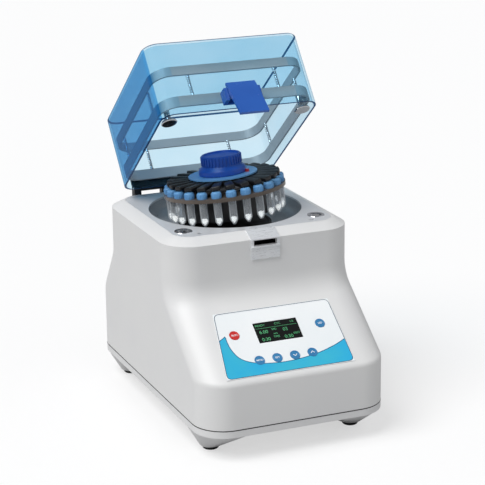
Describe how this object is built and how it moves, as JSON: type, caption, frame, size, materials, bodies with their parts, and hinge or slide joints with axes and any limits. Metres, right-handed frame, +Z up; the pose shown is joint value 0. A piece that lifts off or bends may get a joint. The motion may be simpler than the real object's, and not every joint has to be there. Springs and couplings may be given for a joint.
{
  "type": "bench bead mill",
  "caption": "Bench bead-mill homogenizer: wobbling platter of screw-cap tubes in a round chamber, sloping key panel, clear hinged lid with sprung latch handle.",
  "frame": {"origin": "on the bench, at the middle of the footprint", "axes": "+Z up, +X to the operator's right, -Y towards the operator"},
  "size_m": [0.265, 0.4226, 0.5005],
  "materials": {
    "white_moulding": "glossy",
    "grey_moulding": "satin",
    "black_rubber": "matt",
    "plated_steel": "polished",
    "deck_metal": "satin",
    "bowl_dark": "satin",
    "machined_steel": "machined",
    "cast_alloy": "cast",
    "black_plastic": "satin",
    "lid_blue": "clear",
    "band_grey": "satin",
    "handle_blue": "glossy",
    "knob_blue": "satin",
    "pale_blue": "satin",
    "clear_tube": "clear",
    "ring_smoke": "translucent",
    "bead_white": "granular",
    "mark_red": "satin",
    "key_red": "glossy",
    "key_blue": "glossy",
    "label_print": "printed film",
    "display_dark": "glossy",
    "board_green": "satin",
    "winding_copper": "wound",
    "magnet_nickel": "plated"
  },
  "bodies": {
    "base": {"base_tray": "grey_moulding", "rubber_feet": "black_rubber", "foot_screws": "machined_steel", "upper_housing": "white_moulding", "deck_plate": "deck_metal", "deck_screws": "machined_steel", "chamber_bowl": "bowl_dark", "rubber_boot": "black_rubber", "magnet_cups": "plated_steel", "deck_magnets": "magnet_nickel", "bearing_housing": "cast_alloy", "main_bearings": "machined_steel", "chassis_plate": "cast_alloy", "chassis_posts": "machined_steel", "isolator_mounts": "black_rubber", "motor_bell": "cast_alloy", "motor_can": "bowl_dark", "motor_stator": "winding_copper", "hinge_brackets": "black_plastic", "hinge_pins": "machined_steel", "latch_plate": "machined_steel", "panel_overlay": "label_print", "display_module": "display_dark", "control_board": "board_green", "power_supply": "cast_alloy", "motor_driver": "board_green", "power_inlet": "black_plastic", "fan_frame": "black_plastic", "fan_guard": "plated_steel"},
    "drive": {"motor_rotor": "machined_steel", "shaft_coupling": "cast_alloy", "drive_shaft": "machined_steel", "balance_weight": "machined_steel"},
    "platter": {"platter_drum": "black_plastic", "platter_bearings": "machined_steel", "tube_ring": "ring_smoke", "sample_tubes": "clear_tube", "tube_caps": "pale_blue", "bead_charges": "bead_white", "clamp_stud": "machined_steel"},
    "clamp": {"hold_down_star": "black_plastic", "clamp_disc": "pale_blue"},
    "knob": {"clamp_knob": "knob_blue", "index_mark": "mark_red"},
    "lid": {"lid_shell": "lid_blue", "lower_band": "band_grey", "upper_band": "band_grey", "band_posts": "plated_steel", "lid_hinge_leaf": "black_plastic", "lid_pads": "plated_steel", "handle_bracket": "handle_blue"},
    "handle": {"latch_handle": "handle_blue"},
    "fan": {"fan_rotor": "black_plastic"},
    "rocker": {"power_rocker": "black_plastic"},
    "run_key": {"run_key": "key_red"},
    "open_key": {"open_key": "key_blue"},
    "menu_key": {"menu_key": "key_blue"},
    "set_key": {"set_key": "key_blue"},
    "down_key": {"down_key": "key_blue"},
    "up_key": {"up_key": "key_blue"}
  },
  "joints": [
    {"name": "drive_spin", "type": "hinge", "parent": "base", "child": "drive", "pos_m": [0, 0.038, 0.2], "axis": [0, 0, 1], "continuous": true},
    {"name": "platter_roll", "type": "hinge", "parent": "drive", "child": "platter", "pos_m": [0, 0.038, 0.291], "axis": [-0.0754, 0.0928, 0.9928], "continuous": true},
    {"name": "clamp_lift", "type": "slide", "parent": "platter", "child": "clamp", "axis": [-0.0754, 0.0928, 0.9928], "range_m": [0, 0.006]},
    {"name": "knob_turn", "type": "hinge", "parent": "clamp", "child": "knob", "pos_m": [0, 0.038, 0.291], "axis": [-0.0754, 0.0928, 0.9928], "range_deg": [0, 1240]},
    {"name": "lid_hinge", "type": "hinge", "parent": "base", "child": "lid", "pos_m": [0, 0.1582, 0.2751], "axis": [1, 0, 0], "range_deg": [0, 39.4]},
    {"name": "handle_pull", "type": "hinge", "parent": "lid", "child": "handle", "pos_m": [0, -0.0266, 0.43595], "axis": [-1, 0, 0], "range_deg": [0, 18], "stiffness_Nm_per_rad": 0.6, "springref_deg": -8.59},
    {"name": "fan_spin", "type": "hinge", "parent": "base", "child": "fan", "pos_m": [-0.058, 0.1974, 0.086], "axis": [0, 1, 0], "continuous": true},
    {"name": "rocker_tilt", "type": "hinge", "parent": "base", "child": "rocker", "pos_m": [0.07, 0.2054, 0.099], "axis": [1, 0, 0], "range_deg": [0, 16]},
    {"name": "run_key_press", "type": "slide", "parent": "base", "child": "run_key", "axis": [0, 0.6012, -0.7991], "range_m": [0, 0.0006], "stiffness_N_per_m": 800, "springref_m": -0.0002},
    {"name": "open_key_press", "type": "slide", "parent": "base", "child": "open_key", "axis": [0, 0.6012, -0.7991], "range_m": [0, 0.0006], "stiffness_N_per_m": 800, "springref_m": -0.0002},
    {"name": "menu_key_press", "type": "slide", "parent": "base", "child": "menu_key", "axis": [0, 0.6012, -0.7991], "range_m": [0, 0.0006], "stiffness_N_per_m": 800, "springref_m": -0.0002},
    {"name": "set_key_press", "type": "slide", "parent": "base", "child": "set_key", "axis": [0, 0.6012, -0.7991], "range_m": [0, 0.0006], "stiffness_N_per_m": 800, "springref_m": -0.0002},
    {"name": "down_key_press", "type": "slide", "parent": "base", "child": "down_key", "axis": [0, 0.6012, -0.7991], "range_m": [0, 0.0006], "stiffness_N_per_m": 800, "springref_m": -0.0002},
    {"name": "up_key_press", "type": "slide", "parent": "base", "child": "up_key", "axis": [0, 0.6012, -0.7991], "range_m": [0, 0.0006], "stiffness_N_per_m": 800, "springref_m": -0.0002}
  ],
  "couplings": [
    {"joint": "platter_roll", "follows": "drive_spin", "ratio": -1},
    {"joint": "knob_turn", "follows": "clamp_lift", "rad_per_m": 3590.4}
  ]
}
